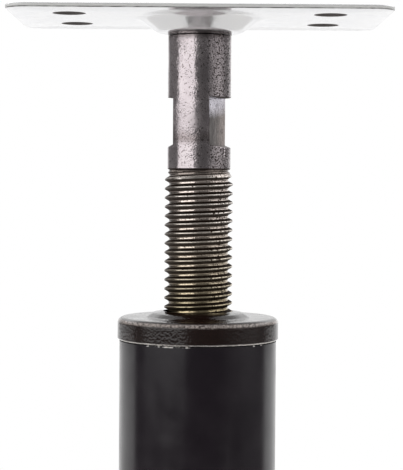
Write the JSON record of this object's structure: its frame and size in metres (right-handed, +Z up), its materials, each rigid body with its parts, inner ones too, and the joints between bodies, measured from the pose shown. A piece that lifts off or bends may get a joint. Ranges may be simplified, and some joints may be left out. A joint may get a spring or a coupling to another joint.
{
  "type": "telescoping jack post",
  "caption": "Adjustable steel post: two telescoping tubes held by a cross pin, a jack screw in a collar, and a dished bearing plate at each end.",
  "frame": {"origin": "on the floor, on the post's axis, under the middle of the base plate", "axes": "+Z up along the post, X along the long side of the plates, pin head at -X"},
  "size_m": [0.171, 0.1, 0.4866],
  "materials": {
    "zinc_plate": "bright zinc plate over stamped steel",
    "black_tube": "satin black paint",
    "collar_enamel": "glossy brown-black enamel",
    "screw_steel": "dark oiled steel, pitted",
    "pin_steel": "plain turned steel"
  },
  "bodies": {
    "base": {"base_plate": "zinc_plate", "lower_tube": "black_tube"},
    "pin": {"support_pin": "pin_steel"},
    "upper_post": {"upper_tube": "black_tube", "screw_collar": "collar_enamel"},
    "carrier": {"thrust_washer": "screw_steel"},
    "screw": {"jack_screw": "screw_steel"},
    "head_plate": {"top_plate": "zinc_plate"}
  },
  "joints": [
    {"name": "pin_pull", "type": "slide", "parent": "base", "child": "pin", "axis": [-1, 0, 0], "range_m": [0, 0.085]},
    {"name": "tube_extend", "type": "slide", "parent": "base", "child": "upper_post", "axis": [0, 0, 1], "range_m": [0, 0.1524]},
    {"name": "screw_lift", "type": "slide", "parent": "upper_post", "child": "carrier", "axis": [0, 0, 1], "range_m": [-0.064, 0.03013]},
    {"name": "screw_turn", "type": "hinge", "parent": "carrier", "child": "screw", "pos_m": [0, 0, 0.47705], "axis": [0, 0, 1], "range_deg": [-5400, 2520]},
    {"name": "plate_swivel", "type": "hinge", "parent": "carrier", "child": "head_plate", "pos_m": [0, 0, 0.48655], "axis": [0, 0, 1], "continuous": true}
  ],
  "couplings": [
    {"joint": "screw_lift", "follows": "screw_turn", "m_per_rad": 0.00067376}
  ]
}
